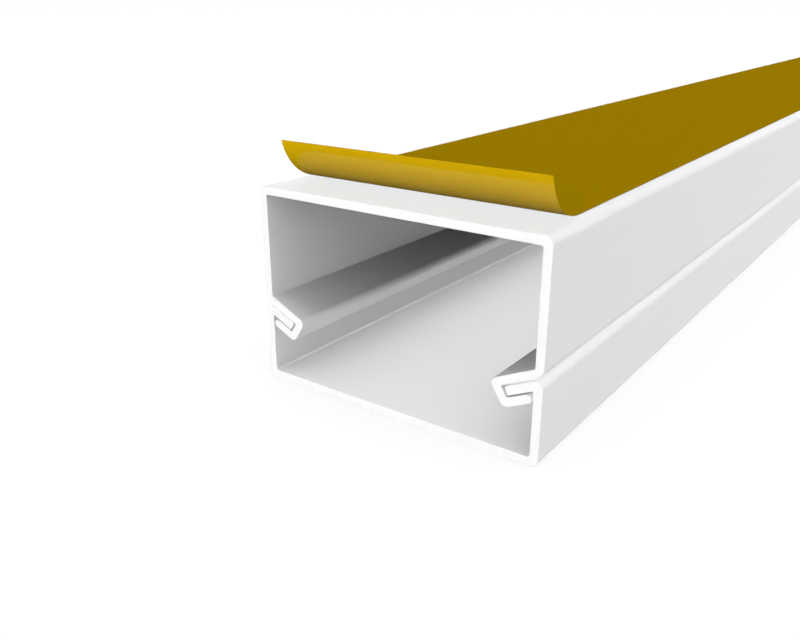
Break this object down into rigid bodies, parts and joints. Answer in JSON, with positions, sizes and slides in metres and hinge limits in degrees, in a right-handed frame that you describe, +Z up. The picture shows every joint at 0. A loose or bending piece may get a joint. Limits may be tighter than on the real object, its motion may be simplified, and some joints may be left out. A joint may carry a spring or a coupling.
{
  "type": "cord cover raceway",
  "caption": "Rectangular cord cover raceway: hooked base channel with adhesive back and partly peeled release liner, closed by a clip-in cover that slides along the hooks.",
  "frame": {"origin": "middle of the cover's outer face, which the raceway lies on", "axes": "+Y along the length, away from the peeled end; +X across the width; +Z up, from the cover's face to the adhesive back"},
  "size_m": [0.04, 0.4, 0.0314],
  "materials": {
    "white_pvc": "satin",
    "adhesive": "satin",
    "gold_liner": "gloss"
  },
  "bodies": {
    "base": {"base_channel": "white_pvc", "adhesive_tape": "adhesive", "release_liner": "gold_liner"},
    "cover": {"snap_cover": "white_pvc"}
  },
  "joints": [
    {"name": "cover_slide", "type": "slide", "parent": "base", "child": "cover", "axis": [0, 1, 0], "range_m": [-0.36, 0.36]}
  ]
}
